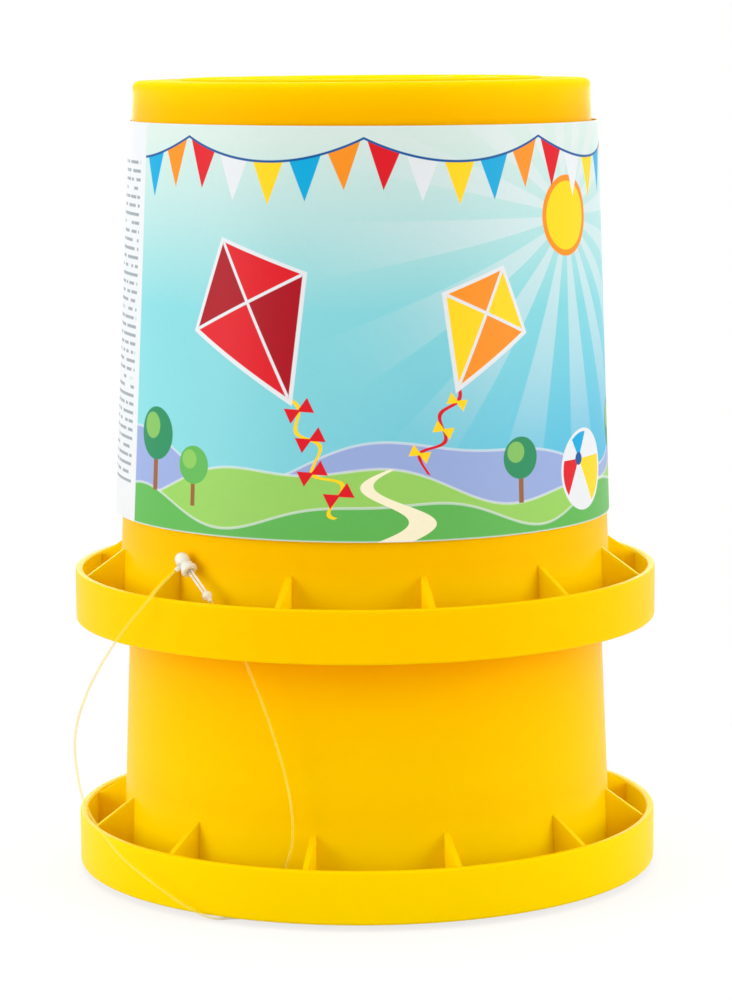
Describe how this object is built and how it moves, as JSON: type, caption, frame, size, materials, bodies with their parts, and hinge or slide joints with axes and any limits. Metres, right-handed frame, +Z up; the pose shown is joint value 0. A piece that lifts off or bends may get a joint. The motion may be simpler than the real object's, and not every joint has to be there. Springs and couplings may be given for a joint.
{
  "type": "pot stilts",
  "caption": "Stack of nested moulded pot stilts: tapered step pots with ribbed saucer flanges, a printed paper sleeve and a nylon loop tag.",
  "frame": {"origin": "centre of the lower pot's foot ring, on the surface that the stack stands on", "axes": "+Z up along the pots' common axis, -Y towards the side of the sleeve that faces the viewer, +X to the viewer's right"},
  "size_m": [0.16, 0.16, 0.2169],
  "materials": {
    "yellow_plastic": "moulded, satin gloss",
    "printed_paper": "coated, printed in turquoise and blue",
    "clear_nylon": "translucent nylon"
  },
  "bodies": {
    "lower": {"lower_pot": "yellow_plastic", "tag_thread": "clear_nylon"},
    "upper": {"upper_pot": "yellow_plastic", "tag_head": "clear_nylon", "tag_plug": "clear_nylon"},
    "sleeve": {"paper_sleeve": "printed_paper"}
  },
  "joints": [
    {"name": "lift", "type": "slide", "parent": "lower", "child": "upper", "axis": [0, 0, 1], "range_m": [0, 0.03], "deforming": ["tag_thread"]},
    {"name": "sleeve_slide", "type": "slide", "parent": "upper", "child": "sleeve", "axis": [0, 0, 1], "range_m": [0, 0.125]}
  ]
}
